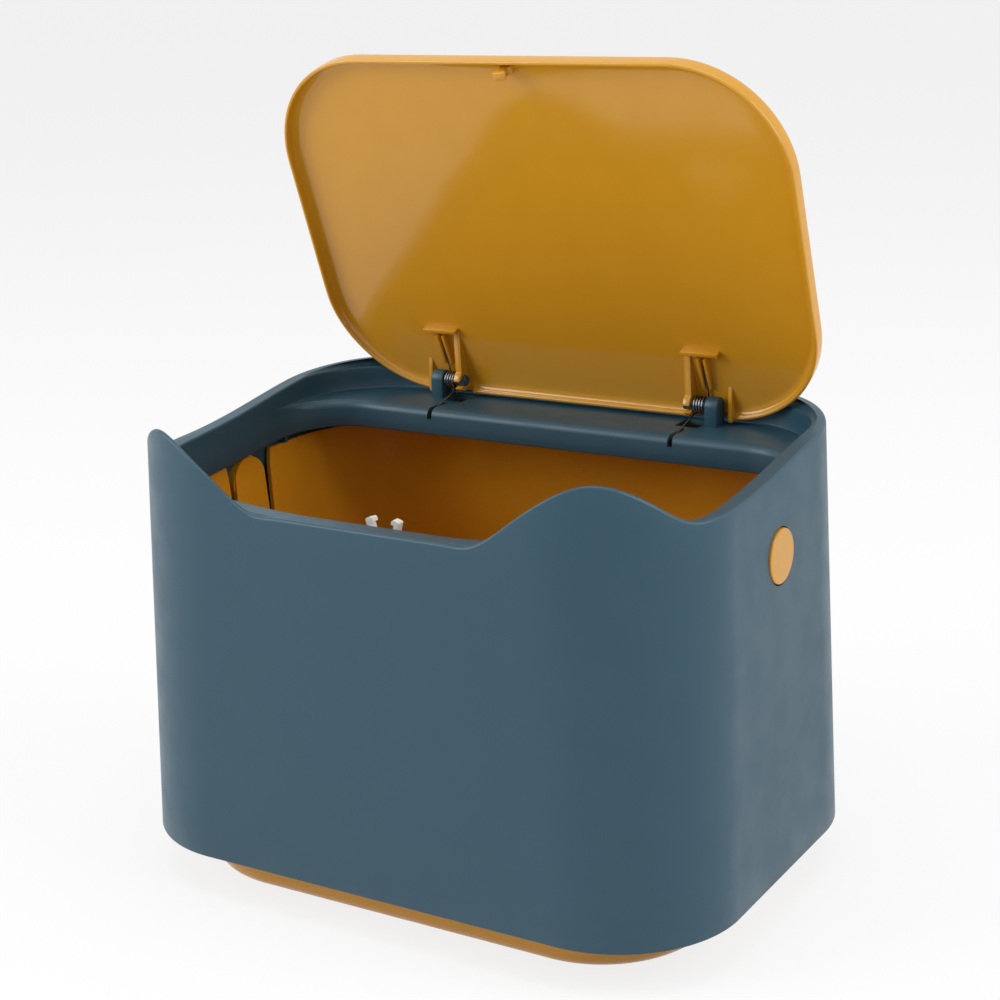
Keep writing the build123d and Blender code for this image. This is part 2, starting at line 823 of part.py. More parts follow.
# Guide pin: one bent wire, its foot held in the housing's wall
guide_y = latch_y + guide_offset
guide_foot = Vector(0, housing_back, guide_foot_z)
guide_corner = Vector(0, guide_y, guide_foot_z)
guide_path = FilletPolyline(guide_foot, guide_corner, (0, guide_y, guide_top), radius=guide_bend)
guide_section = Plane(origin=guide_foot, z_dir=(0, -1, 0)) * Circle(guide_wire)
guide_pin = sweep(guide_section, path=guide_path)
housing = housing - rod_y(0, latch_y + channel_half_depth, housing_back + 1, guide_foot_z, guide_wire)

# Jaw pins, pressed through the ears
jaw_pins = []
pin_front, pin_back = latch_y - plunger_half_depth, latch_y + plunger_half_depth
for side in (-1, 1):
    rod = rod_y(side * jaw_pivot_x, pin_front, pin_back, jaw_pivot_z, jaw_pin_radius)
    plunger = plunger - rod
    jaw_pins.append(rod)


def jaw(side):
    """One claw, drawn closed about its pivot and then spread."""
    outer_x = jaw_thickness / 2
    barb_x = -jaw_thickness / 2 - jaw_barb
    points = [
        (-outer_x, -jaw_tail),
        (outer_x, -jaw_tail),
        (outer_x, jaw_height - jaw_chamfer),
        (outer_x - jaw_chamfer, jaw_height),
        (barb_x + jaw_chamfer, jaw_height),
        (barb_x, jaw_height - jaw_chamfer),
        (barb_x, jaw_height - jaw_barb_height),
        (-outer_x, jaw_height - jaw_barb_height),
    ]
    loop = [(x, -jaw_depth / 2, z) for x, z in points]
    claw = extrude(make_face(Polyline(*loop, close=True)), amount=jaw_depth, dir=(0, 1, 0))
    claw = claw - rod_y(0, -jaw_depth, jaw_depth, 0, jaw_pin_radius + jaw_pin_clearance)
    claw = Pos(jaw_pivot_x, latch_y, jaw_pivot_z) * Rot(0, jaw_spread, 0) * claw
    if side < 0:
        claw = mirror(claw, about=Plane.YZ)
    return claw


# Return spring under the plunger
return_low = pocket_floor + return_wire / 2 + return_gap
return_high = bore_top - return_wire / 2 - return_gap
return_pitch = (return_high - return_low) / return_turns
return_arcs, return_at, return_way = helix(0, 360 * return_turns, return_radius, return_pitch)
return_path = Wire(return_arcs)
return_section = Plane(origin=return_at(0), z_dir=return_way(0)) * Circle(return_wire / 2)
return_spring = sweep(return_section, path=return_path)
return_spring = Pos(0, latch_y, return_low) * Rot(0, -90, 0) * return_spring
print(f"latch spring: least gap to itself {least_gap(return_path, return_wire):.2f} mm")

# Screws that hold the housing on the boss
screws = []
for side in (-1, 1):
    shank = rod_y(side * screw_x, screw_end, ear_back + screw_head / 4, screw_z, screw_radius)
    head = rod_y(side * screw_x, ear_back, ear_back + screw_head, screw_z, screw_head_radius)
    head = fillet(head.edges().sort_by(Axis.Y)[-1], screw_head / 2)
    for across, up in ((drive_half_length, drive_half_width), (drive_half_width, drive_half_length)):
        x0, x1 = side * screw_x - across, side * screw_x + across
        drive = box(x0, x1, ear_back + screw_head / 2, ear_back + screw_head + 1, screw_z - up, screw_z + up)
        head = head - drive
    screws.append(shank + head)

save("bucket", bucket)
save("outer_shell", shell)
save("lid", lid_open)
for side, word in ((-1, "left"), (1, "right")):
    save(f"snap_tongue_{word}", snap_tongue(side))
    save(f"hinge_pin_{word}", pins[word])
    coil, gap = torsion_spring(side)
    print(f"hinge spring {word}: least gap to itself {gap:.2f} mm")
    save(f"hinge_spring_{word}", coil)
    save(f"latch_jaw_{word}", jaw(side))
save("latch_housing", housing)
save("latch_plunger", plunger)
save("latch_jaw_pins", Compound(jaw_pins))
save("latch_guide_pin", guide_pin)
save("latch_spring", return_spring)
save("latch_screws", Compound(screws))
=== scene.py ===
import math

import bmesh
import bpy
import numpy as np
from mathutils import Matrix, Vector


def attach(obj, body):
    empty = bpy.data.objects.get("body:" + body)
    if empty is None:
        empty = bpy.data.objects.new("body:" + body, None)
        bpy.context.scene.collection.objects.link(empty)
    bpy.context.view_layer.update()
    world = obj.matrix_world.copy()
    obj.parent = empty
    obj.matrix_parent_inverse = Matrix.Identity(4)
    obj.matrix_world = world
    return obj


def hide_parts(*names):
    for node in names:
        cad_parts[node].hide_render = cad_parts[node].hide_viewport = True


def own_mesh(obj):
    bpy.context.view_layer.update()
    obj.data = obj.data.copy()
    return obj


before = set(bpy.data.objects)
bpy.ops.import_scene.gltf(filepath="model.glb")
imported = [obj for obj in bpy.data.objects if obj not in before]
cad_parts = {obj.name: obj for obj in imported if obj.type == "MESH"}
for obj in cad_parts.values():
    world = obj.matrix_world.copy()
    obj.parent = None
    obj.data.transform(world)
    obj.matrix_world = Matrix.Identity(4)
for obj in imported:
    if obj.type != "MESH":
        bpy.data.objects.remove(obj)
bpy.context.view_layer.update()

scene = bpy.context.scene

# Camera
# A short telephoto view from the front right of the can and a little above its rim, fitted to the
# outline in the photograph. It is rolled a little about its own axis.
camera_data = bpy.data.cameras.new("camera")
camera_data.sensor_width = 36.0
camera_data.lens = 72.92
camera_place = (0.44176, -0.71436, 0.40534)
azimuth, elevation, roll = (math.radians(a) for a in (31.34, 16.03, -1.76))
camera = bpy.data.objects.new("camera", camera_data)
scene.collection.objects.link(camera)
level = math.cos(elevation)
backward = Vector((math.sin(azimuth) * level, -math.cos(azimuth) * level, math.sin(elevation)))
right = Vector((math.cos(azimuth), math.sin(azimuth), 0))
up = backward.cross(right)
rolled_right = math.cos(roll) * right + math.sin(roll) * up
rolled_up = math.cos(roll) * up - math.sin(roll) * right
turn = Matrix((rolled_right, rolled_up, backward)).transposed().to_4x4()
camera.matrix_world = Matrix.Translation(camera_place) @ turn
scene.camera = camera
scene.view_settings.view_transform = "Standard"


# Floor and surround
# A wide pale sheet under the can and a white room round it, both plain and even. The camera and
# mirror-like surfaces see both nearly white, while the light that they cast stays soft.
def cleared(owner):
    """Empty shader tree of a material or a world."""
    owner.use_nodes = True
    owner.node_tree.nodes.clear()
    return owner.node_tree


def seen_directly(tree):
    """Output that is 1 for what the camera, a reflection or a clear piece shows."""
    path = tree.nodes.new("ShaderNodeLightPath")
    last = path.outputs["Is Camera Ray"]
    for word in ("Is Glossy Ray", "Is Transmission Ray"):
        either = tree.nodes.new("ShaderNodeMath")
        either.operation = "MAXIMUM"
        tree.links.new(last, either.inputs[0])
        tree.links.new(path.outputs[word], either.inputs[1])
        last = either.outputs[0]
    return last


white = (1, 1, 1, 1)
pale = (0.93, 0.93, 0.93, 1)
glow_share = 0.8
room_light, room_seen = 0.4, 1.0
reach = 30.0
corners = [(-reach, -reach, 0), (reach, -reach, 0), (reach, reach, 0), (-reach, reach, 0)]
floor_mesh = bpy.data.meshes.new("floor")
floor_mesh.from_pydata(corners, [], [(0, 1, 2, 3)])
floor = bpy.data.objects.new("floor", floor_mesh)
scene.collection.objects.link(floor)
floor_paint = bpy.data.materials.new("floor_sheet")
tree = cleared(floor_paint)
matt = tree.nodes.new("ShaderNodeBsdfDiffuse")
matt.inputs["Color"].default_value = pale
glow = tree.nodes.new("ShaderNodeEmission")
glow.inputs["Color"].default_value = white
share = tree.nodes.new("ShaderNodeMath")
share.operation = "MULTIPLY"
share.inputs[1].default_value = glow_share
mix = tree.nodes.new("ShaderNodeMixShader")
sheet_out = tree.nodes.new("ShaderNodeOutputMaterial")
tree.links.new(seen_directly(tree), share.inputs[0])
tree.links.new(share.outputs[0], mix.inputs["Fac"])
tree.links.new(matt.outputs[0], mix.inputs[1])
tree.links.new(glow.outputs[0], mix.inputs[2])
tree.links.new(mix.outputs[0], sheet_out.inputs["Surface"])
floor_mesh.materials.append(floor_paint)

room = bpy.data.worlds.new("white_room")
scene.world = room
tree = cleared(room)
cast = tree.nodes.new("ShaderNodeBackground")
cast.inputs["Color"].default_value = white
cast.inputs["Strength"].default_value = room_light
shown = tree.nodes.new("ShaderNodeBackground")
shown.inputs["Color"].default_value = white
shown.inputs["Strength"].default_value = room_seen
mix = tree.nodes.new("ShaderNodeMixShader")
room_out = tree.nodes.new("ShaderNodeOutputWorld")
tree.links.new(seen_directly(tree), mix.inputs["Fac"])
tree.links.new(cast.outputs[0], mix.inputs[1])
tree.links.new(shown.outputs[0], mix.inputs[2])
tree.links.new(mix.outputs[0], room_out.inputs["Surface"])


# Lamps
# Three square soft boxes: a large one at the front left that lights the open lid, one at the right
# for the near corner and a weak one straight above.
def soft_box(name, place, target, size, power):
    """Square lamp in metres and watts that faces its target."""
    data = bpy.data.lights.new(name, "AREA")
    data.size = size
    data.energy = power
    lamp = bpy.data.objects.new(name, data)
    lamp.location = place
    lamp.rotation_euler = (Vector(target) - Vector(place)).to_track_quat("-Z", "Y").to_euler()
    scene.collection.objects.link(lamp)


soft_box("front_left_box", (-1.5, -1.3, 1.1), (0, 0, 0.2), size=1.4, power=27)
soft_box("right_box", (1.7, 0.25, 1.2), (0, 0, 0.15), size=1.2, power=19)
soft_box("top_box", (0.1, -0.2, 2.0), (0, 0, 0.15), size=1.2, power=12)

# Bucket
# The inner tub that holds the bagged waste: one golden yellow injection moulding with a smooth,
# glossy face. Its foot shows under the shell. The solid's own shape is kept.
def moulded_surface():
    """Shader group for moulded plastic: fine grain, slow waviness, uneven sheen and tint."""
    wave_height, grain_height = 0.001, 0.0002
    patch_low, patch_high = 0.35, 0.65
    group = bpy.data.node_groups.new("moulded_surface", "ShaderNodeTree")
    for name, kind, start in (
        ("Grain Scale", "NodeSocketFloat", 2400.0),
        ("Grain Depth", "NodeSocketFloat", 0.1),
        ("Wave Depth", "NodeSocketFloat", 0.1),
        ("Smoothest", "NodeSocketFloat", 0.3),
        ("Roughest", "NodeSocketFloat", 0.4),
        ("Light", "NodeSocketColor", (0.5, 0.5, 0.5, 1)),
        ("Dark", "NodeSocketColor", (0.4, 0.4, 0.4, 1)),
    ):
        group.interface.new_socket(name, in_out="INPUT", socket_type=kind).default_value = start
    for name, kind in (("Color", "Color"), ("Roughness", "Float"), ("Normal", "Vector")):
        group.interface.new_socket(name, in_out="OUTPUT", socket_type="NodeSocket" + kind)
    nodes, links = group.nodes, group.links
    given = nodes.new("NodeGroupInput")
    result = nodes.new("NodeGroupOutput")
    place = nodes.new("ShaderNodeTexCoord")
    grain, wave, patch = (nodes.new("ShaderNodeTexNoise") for _ in range(3))
    wave.inputs["Scale"].default_value = 22.0
    patch.inputs["Scale"].default_value = 60.0
    for texture, detail in ((grain, 2.0), (wave, 1.0), (patch, 4.0)):
        texture.inputs["Detail"].default_value = detail
        links.new(place.outputs["Object"], texture.inputs["Vector"])
    links.new(given.outputs["Grain Scale"], grain.inputs["Scale"])
    broad, fine = nodes.new("ShaderNodeBump"), nodes.new("ShaderNodeBump")
    broad.inputs["Distance"].default_value = wave_height
    fine.inputs["Distance"].default_value = grain_height
    links.new(wave.outputs["Fac"], broad.inputs["Height"])
    links.new(given.outputs["Wave Depth"], broad.inputs["Strength"])
    links.new(grain.outputs["Fac"], fine.inputs["Height"])
    links.new(given.outputs["Grain Depth"], fine.inputs["Strength"])
    links.new(broad.outputs["Normal"], fine.inputs["Normal"])
    sheen = nodes.new("ShaderNodeMapRange")
    sheen.inputs["From Min"].default_value = patch_low
    sheen.inputs["From Max"].default_value = patch_high
    links.new(patch.outputs["Fac"], sheen.inputs["Value"])
    links.new(given.outputs["Smoothest"], sheen.inputs["To Min"])
    links.new(given.outputs["Roughest"], sheen.inputs["To Max"])
    tint = nodes.new("ShaderNodeMix")
    tint.data_type = "RGBA"
    links.new(patch.outputs["Fac"], tint.inputs["Factor"])
    links.new(given.outputs["Light"], tint.inputs["A"])
    links.new(given.outputs["Dark"], tint.inputs["B"])
    links.new(tint.outputs["Result"], result.inputs["Color"])
    links.new(sheen.outputs["Result"], result.inputs["Roughness"])
    links.new(fine.outputs["Normal"], result.inputs["Normal"])
    return group


moulded = moulded_surface()


def linear(colour):
    """Linear colour, with full cover, from a screen colour of 0 to 255."""
    levels = [c / 255 for c in colour]
    return tuple(((c + 0.055) / 1.055) ** 2.4 if c > 0.04 else c / 12.92 for c in levels) + (1.0,)


def finish(name, light, dark, sheen, grain, wave=0.0, specular=0.5, metallic=0.0):
    """Material with the moulded surface: two tints, a range of roughness and a grain depth."""
    material = bpy.data.materials.new(name)
    tree = cleared(material)
    surface = tree.nodes.new("ShaderNodeGroup")
    surface.node_tree = moulded
    values = {
        "Grain Scale": 2400.0,
        "Grain Depth": grain,
        "Wave Depth": wave,
        "Smoothest": sheen[0],
        "Roughest": sheen[1],
        "Light": linear(light),
        "Dark": linear(dark),
    }
    for word, value in values.items():
        surface.inputs[word].default_value = value
    shader = tree.nodes.new("ShaderNodeBsdfPrincipled")
    shader.inputs["Specular IOR Level"].default_value = specular
    shader.inputs["Metallic"].default_value = metallic
    out = tree.nodes.new("ShaderNodeOutputMaterial")
    tree.links.new(surface.outputs["Color"], shader.inputs["Base Color"])
    tree.links.new(surface.outputs["Roughness"], shader.inputs["Roughness"])
    tree.links.new(surface.outputs["Normal"], shader.inputs["Normal"])
    tree.links.new(shader.outputs[0], out.inputs["Surface"])
    return material


def dress(material, *nodes):
    """Gives the solids' own shapes a finish."""
    for node in nodes:
        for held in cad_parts[node].material_slots:
            held.material = material


bucket_yellow = finish(
    "bucket_plastic", (207, 146, 34), (199, 138, 28), sheen=(0.2, 0.28), grain=0.06, wave=0.05
)
dress(bucket_yellow, "bucket")

# Press tongues
# Two springy tongues of the bucket's end walls, moulded in one with it. The round button on each
# stands out through the shell and lets it go when both are pressed.
dress(bucket_yellow, "snap_tongue_left", "snap_tongue_right")

# Outer shell
# The slate blue sleeve over the bucket: one moulding with a satin face, thin-walled, with a rim
# turned inwards, ears at its front corners, a collar round the mouth and a shelf for the hinge.
# The sizes are in millimetres. The drafts and the corners' growth are for each millimetre up.
MM = 0.001
HALF_X, HALF_Y, FOOT = 140.0, 99.3, 19.0
CORNER, DRAFT, FRONT_DRAFT, CORNER_GROWTH = 54.0, 0.0282, 0.004, 0.0327
WALL, RIM = 2.4, 2.6
DIP, VALLEY, BACK, EAR = 177.5, 187.5, 197.0, 205.8
SHELF, SHELF_PLATE, NOSE = 187.0, 2.4, 3.6
MOUTH_X, MOUTH_FRONT, MOUTH_BACK, MOUTH_CORNER = 127.6, -86.9, 52.0, 30.0
RECESS_BACK, RECESS_FRONT_CORNER, RECESS_BACK_CORNER = 88.4, 46.7, 45.0
COLLAR, COLLAR_FOOT, COLLAR_SLOPE = 2.0, 170.0, 0.09
shell_blue = finish(
    "shell_plastic",
    (41, 77, 94),
    (37, 72, 88),
    sheen=(0.36, 0.44),
    grain=0.12,
    wave=0.03,
    specular=0.42,
)


def plan(half_x, front, rear, front_corner, rear_corner, counts=(40, 60, 30, 36, 26)):
    """Points round a rounded rectangle, anticlockwise from the middle of its front edge."""
    n_front, n_ear, n_side, n_rear, n_back = counts

    def line(a, b, n):
        t = np.arange(n)[:, None] / n
        return np.array(a) * (1 - t) + np.array(b) * t

    def arc(x, y, r, start, n):
        a = math.radians(start) + np.arange(n) / n * math.pi / 2
        return np.stack([x + r * np.cos(a), y + r * np.sin(a)], 1)

    half = np.concatenate([
        line((0, front), (half_x - front_corner, front), n_front),
        arc(half_x - front_corner, front + front_corner, front_corner, -90, n_ear),
        line((half_x, front + front_corner), (half_x, rear - rear_corner), n_side),
        arc(half_x - rear_corner, rear - rear_corner, rear_corner, 0, n_rear),
        line((half_x - rear_corner, rear), (0, rear), n_back),
        [(0.0, rear)],
    ])
    return np.concatenate([half, half[-2:0:-1] * (-1, 1)])


def shell_plan(inset, z):
    """Plan of the sleeve set in from its face, at one height or at one height for each point."""
    rise = (np.asarray(z, float) - FOOT).reshape(-1, 1)
    foot = plan(HALF_X, -HALF_Y, HALF_Y, CORNER, CORNER)
    higher = plan(HALF_X - DRAFT, FRONT_DRAFT - HALF_Y, HALF_Y - DRAFT, CORNER + CORNER_GROWTH, CORNER)
    inner = plan(HALF_X - 1, 1 - HALF_Y, HALF_Y - 1, CORNER - 1, CORNER - 1)
    return foot + (higher - foot) * rise + (inner - foot) * inset


def level_spline(places, heights, at):
    """Smooth curve through a few heights, level at both its ends."""
    places, heights = np.asarray(places, float), np.asarray(heights, float)
    gap = np.diff(places)
    steep = np.diff(heights) / gap
    count = len(places)
    system, known = np.eye(count), np.zeros(count)
    for i in range(1, count - 1):
        system[i, i - 1:i + 2] = gap[i], 2 * (gap[i - 1] + gap[i]), gap[i - 1]
        known[i] = 3 * (gap[i] * steep[i - 1] + gap[i - 1] * steep[i])
    slope = np.linalg.solve(system, known)
    i = np.clip(np.searchsorted(places, at) - 1, 0, count - 2)
    t = np.clip((at - places[i]) / gap[i], 0, 1)
    ends = heights[i] + (3 * t**2 - 2 * t**3) * (heights[i + 1] - heights[i])
    return ends + gap[i] * ((t**3 - 2 * t**2 + t) * slope[i] + (t**3 - t**2) * slope[i + 1])


EAR_TURN, EAR_PEAK = math.radians(40.0), math.radians(25.5)
EAR_START, EAR_END, EAR_BACK = -38.0, 74.0, -50.0


def across_ear(step):
    """Distance square to an ear's own direction, from the way along the outline past its corner."""
    rise = VALLEY - FOOT
    corner = CORNER + CORNER_GROWTH * rise
    angle = max(step, 0.0) / corner
    x = HALF_X - DRAFT * rise - corner + min(step, 0.0) + corner * math.sin(angle)
    y = FRONT_DRAFT * rise - HALF_Y + corner * (1 - math.cos(angle))
    return x * math.cos(EAR_TURN) + y * math.sin(EAR_TURN)


def ear_edge():
    """An ear's edge: distances across it and heights, from its front root over its tip."""
    tip = (CORNER + CORNER_GROWTH * (VALLEY - FOOT)) * EAR_PEAK
    front_slope, back_slope, tip_radius, root_blend = 0.9, 0.78, 20.0, 2.5
    front_steps, back_steps = (-24.0, -14.0, -4.0, 8.0), (40.0, 50.0, 60.0)
    sides = ((front_steps, DIP, front_slope), (back_steps, VALLEY, back_slope))
    edge = [(across_ear(EAR_START), DIP), (across_ear(tip), EAR), (across_ear(EAR_END), VALLEY)]
    for steps, base, slope in sides:
        for step in steps:
            rise = EAR - base - slope * (math.hypot(step - tip, tip_radius) - tip_radius)
            edge.append((across_ear(step), base + (rise + math.hypot(rise, root_blend)) / 2))
    return zip(*sorted(edge))


def rim_height(points, raised):
    """Height of the rim over plan points, with its ears or of the level that they stand on."""
    x, y = np.abs(points[:, 0]), points[:, 1]
    across = x * math.cos(EAR_TURN) + y * math.sin(EAR_TURN)
    places, heights = ear_edge()
    if not raised:
        places, heights = (places[0], places[-1]), (DIP, VALLEY)
    front = np.where(across < places[0], DIP, level_spline(places, heights, across))
    side_places = (EAR_BACK, -5.0, 33.0, 63.0, 96.0)
    side_rises = (0.0, 3.2, 8.8, 12.2, 14.7)
    side = level_spline(side_places, [VALLEY + rise for rise in side_rises], y)
    return np.where(y < EAR_BACK, front, side)


def outward(points):
    """Unit normals of a closed anticlockwise line of points."""
    along = np.roll(points, -1, 0) - np.roll(points, 1, 0)
    normal = np.stack([along[:, 1], -along[:, 0]], 1)
    return normal / np.linalg.norm(normal, axis=1)[:, None]


def mouth_line(recess, away):
    """Plan points of the mouth for those of the recess, and their outward normals."""
    mouth, normal = recess.copy(), away.copy()
    start = MOUTH_BACK - MOUTH_CORNER
    rear = np.where(recess[:, 1] >= start)[0]
    run = recess[rear]
    walked = np.concatenate([[0], np.cumsum(np.linalg.norm(np.diff(run, axis=0), axis=1))])
    walked += run[0][1] - start
    total = walked[-1] + run[-1][1] - start
    bend = math.pi / 2 * MOUTH_CORNER
    straight = 2 * (MOUTH_X - MOUTH_CORNER)
    centre = MOUTH_X - MOUTH_CORNER
    for i, s in zip(rear, walked / total * (2 * bend + straight)):
        if s <= bend:
            a = s / MOUTH_CORNER
            mouth[i] = (centre + MOUTH_CORNER * math.cos(a), start + MOUTH_CORNER * math.sin(a))
            normal[i] = (math.cos(a), math.sin(a))
        elif s <= bend + straight:
            mouth[i] = (centre - (s - bend), MOUTH_BACK)
            normal[i] = (0, 1)
        else:
            a = (s - bend - straight) / MOUTH_CORNER
            mouth[i] = (-centre - MOUTH_CORNER * math.sin(a), start + MOUTH_CORNER * math.cos(a))
            normal[i] = (-math.sin(a), math.cos(a))
    return mouth, normal


def stacked(points, z):
    """Plan points at one height or at one height for each."""
    z = np.broadcast_to(np.asarray(z, float), (len(points),))
    return np.column_stack([points, z])


def eased(share):
    """Smooth step of a share that is held between nothing and all."""
    share = np.clip(share, 0, 1)
    return share**2 * (3 - 2 * share)


def shell_rows():
    """Rows of the shell's section, each carried round the plan: up its face and back inside."""
    face_edge = shell_plan(0, rim_height(shell_plan(0, VALLEY), True))
    top = rim_height(face_edge, True)
    base = rim_height(face_edge, False)
    recess = plan(MOUTH_X, MOUTH_FRONT, RECESS_BACK, RECESS_FRONT_CORNER, RECESS_BACK_CORNER)
    away = outward(recess)
    mouth, mouth_away = mouth_line(recess, away)
    fall_start, fall_run, fall_depth = -20.0, 40.0, 0.9
    flange = rim_height(recess, False) - fall_depth * eased((fall_start - recess[:, 1]) / fall_run)
    across = recess - face_edge
    across = across / np.linalg.norm(across, axis=1)[:, None]
    quarter = np.radians(np.linspace(0, 90, 7))
    outer_round, ridge, crest, fillet, inner_round = 1.3, 1.0, 1.0, 1.4, 1.0
    foot_round, foot_step = 0.7, 0.2
    rows = [
        stacked(shell_plan(WALL, FOOT), FOOT),
        stacked(shell_plan(foot_round, FOOT), FOOT),
        stacked(shell_plan(foot_step, FOOT), FOOT + foot_step),
        stacked(shell_plan(0, FOOT), FOOT + foot_round),
    ]
    for part in np.linspace(0.1, 1, 10):
        z = FOOT + foot_round + (top - outer_round - FOOT - foot_round) * part
        rows.append(stacked(shell_plan(0, z), z))

    def rim_row(inset, z):
        rows.append(stacked(face_edge + across * inset, z))

    for a in quarter[1:]:
        rim_row(outer_round * (1 - math.cos(a)), top - outer_round * (1 - math.sin(a)))
    ear = np.maximum(top - base, 0)
    fall, foot_fall = np.minimum(crest, ear / 2), np.minimum(fillet, ear / 2)
    flat = 0.1
    for a in quarter[::2]:
        rim_row(outer_round + flat + ridge * math.sin(a), top - fall * (1 - math.cos(a)))
    for a in quarter[::2]:
        inset = outer_round + 2 * flat + ridge + fillet * (1 - math.cos(a))
        rim_row(inset, base + foot_fall * (1 - math.sin(a)))
    sunk = np.clip(flange - BACK - inner_round, 0, None)
    for part in (1.0, 0.5, 0.0):
        drop = (sunk * part + inner_round)[:, None]
        rows.append(stacked(recess + away * drop, flange - sunk * (1 - part)))
    inner = flange - sunk - inner_round
    for a in quarter[::-1][1:]:
        offset = inner_round * (1 - math.cos(a))
        rows.append(stacked(recess + away * offset, inner + inner_round * math.sin(a)))
    shelf_step, channel_step, hair = 1.0, 0.5, 0.01
    shelf = np.minimum(SHELF, inner - shelf_step)
    shelf_width = np.linalg.norm(recess - mouth, axis=1)
    shelf_round = 0.9
    inward = (mouth - recess) / np.maximum(shelf_width, hair)[:, None]
    inward[shelf_width < hair] = 0
    corner = np.minimum(shelf_round, shelf_width * 0.3)
    rows.append(stacked(recess, (inner + shelf + corner) / 2))
    for a in quarter[::2]:
        offset = (corner * (1 - math.cos(a)))[:, None]
        rows.append(stacked(recess + inward * offset, shelf + corner * (1 - math.sin(a))))
    nose = np.minimum(NOSE, shelf_width * 0.5)
    for a in quarter[::-1]:
        offset = (nose * (1 - math.cos(a)))[:, None]
        rows.append(stacked(mouth + mouth_away * offset, shelf - nose * (1 - math.sin(a))))
    edge = COLLAR_FOOT + COLLAR_SLOPE * mouth[:, 1]
    edge_round = 0.7
    for part in (0.5, 1.0):
        rows.append(stacked(mouth, (shelf - nose) * (1 - part) + (edge + edge_round) * part))
    for a in quarter[3::3]:
        offset = edge_round * (1 - math.cos(a))
        rows.append(stacked(mouth + mouth_away * offset, edge + edge_round * (1 - math.sin(a))))
    under = shelf - SHELF_PLATE
    under_rim = np.maximum(np.minimum(flange, base) - RIM, under + channel_step)
    rows.append(stacked(mouth + mouth_away * COLLAR, edge))
    rows.append(stacked(mouth + mouth_away * COLLAR, under))
    rows.append(stacked(recess + away * COLLAR, under + hair))
    rows.append(stacked(recess + away * COLLAR, under_rim))
    middle = 100.0
    rows.append(stacked(shell_plan(WALL, under_rim), under_rim))
    rows.append(stacked(shell_plan(WALL, middle), middle))
    return rows


def swept(name, rows, closed=True):
    """Mesh from rows of points, each a closed loop; the last joins the first or both are capped."""
    rows = np.array(rows)
    count, around = rows.shape[:2]
    index = np.arange(count * around).reshape(count, around)
    faces = []
    for i in range(count if closed else count - 1):
        a, b = index[i], index[(i + 1) % count]
        faces += np.stack([a, np.roll(a, -1), np.roll(b, -1), b], 1).tolist()
    if not closed:
        faces += [index[0][::-1].tolist(), index[-1].tolist()]
    mesh = bpy.data.meshes.new(name)
    mesh.from_pydata((rows.reshape(-1, 3) * MM).tolist(), [], faces)
    return mended(mesh)


def mended(mesh):
    """Joins doubled points and turns the faces outwards."""
    nearest = 0.000002
    bm = bmesh.new()
    bm.from_mesh(mesh)
    bmesh.ops.remove_doubles(bm, verts=bm.verts, dist=nearest)
    bmesh.ops.dissolve_degenerate(bm, edges=bm.edges, dist=nearest)
    bmesh.ops.recalc_face_normals(bm, faces=bm.faces)
    bm.to_mesh(mesh)
    bm.free()
    return mesh


def piece(name, mesh, material, sharp):
    """Object of a finished mesh, smooth but for edges over the sharp angle in degrees."""
    obj = bpy.data.objects.new(name, mesh)
    scene.collection.objects.link(obj)
    mesh.materials.clear()
    mesh.materials.append(material)
    smoothed(obj, sharp)
    return obj


def smoothed(obj, sharp):
    """Smooth shading that keeps the edges over the sharp angle in degrees."""
    obj.data.shade_smooth()
    obj.data.set_sharp_from_angle(angle=math.radians(sharp))


def block(x0, x1, y0, y1, z0, z1, bevel=0.0):
    """Box between two corners, with its edges rounded."""
    return slab([(x0, y0), (x1, y0), (x1, y1), (x0, y1)], "z", z0, z1, bevel)


def slab(loop, axis, start, end, bevel=0.0):
    """Plate drawn as a closed line across an axis and pulled along it, with its edges rounded."""
    order = {"x": (2, 0, 1), "y": (0, 2, 1), "z": (0, 1, 2)}[axis]
    bm = bmesh.new()
    ends = []
    for height in (start, end):
        flat = [(a, b, height) for a, b in loop]
        ends.append([bm.verts.new([point[i] * MM for i in order]) for point in flat])
    low, high = ends
    bm.faces.new(low)
    bm.faces.new(high[::-1])
    for i, first in enumerate(low):
        j = (i + 1) % len(low)
        bm.faces.new((first, low[j], high[j], high[i]))
    bmesh.ops.recalc_face_normals(bm, faces=bm.faces)
    if bevel:
        flattest = math.radians(40)
        edges = [edge for edge in bm.edges if edge.calc_face_angle(0) > flattest]
        bmesh.ops.bevel(bm, geom=edges, offset=bevel * MM, segments=2, affect="EDGES", profile=0.5)
    mesh = bpy.data.meshes.new("slab")
    bm.to_mesh(mesh)
    bm.free()
    return mesh


def arc_points(centre, radius, start, end, count):
    """Points of an arc between two angles in radians."""
    angles = np.linspace(start, end, count)
    return [(centre[0] + radius * math.cos(a), centre[1] + radius * math.sin(a)) for a in angles]


def cut(obj, meshes):
    """Takes shapes away from an object's mesh."""
    for mesh in meshes:
        tool = bpy.data.objects.new("cutter", mesh)
        scene.collection.objects.link(tool)
        modifier = obj.modifiers.new("cut", "BOOLEAN")
        modifier.operation = "DIFFERENCE"
        modifier.solver = "EXACT"
        modifier.object = tool
        shaped = obj.evaluated_get(bpy.context.evaluated_depsgraph_get())
        made = bpy.data.meshes.new_from_object(shaped)
        obj.modifiers.clear()
        old, obj.data = obj.data, made
        bpy.data.meshes.remove(old)
        bpy.data.objects.remove(tool)


def join(obj, meshes):
    """Adds loose shapes to an object's mesh."""
    bm = bmesh.new()
    bm.from_mesh(obj.data)
    for mesh in meshes:
        bm.from_mesh(mesh)
        bpy.data.meshes.remove(mesh)
    bm.to_mesh(obj.data)
    bm.free()


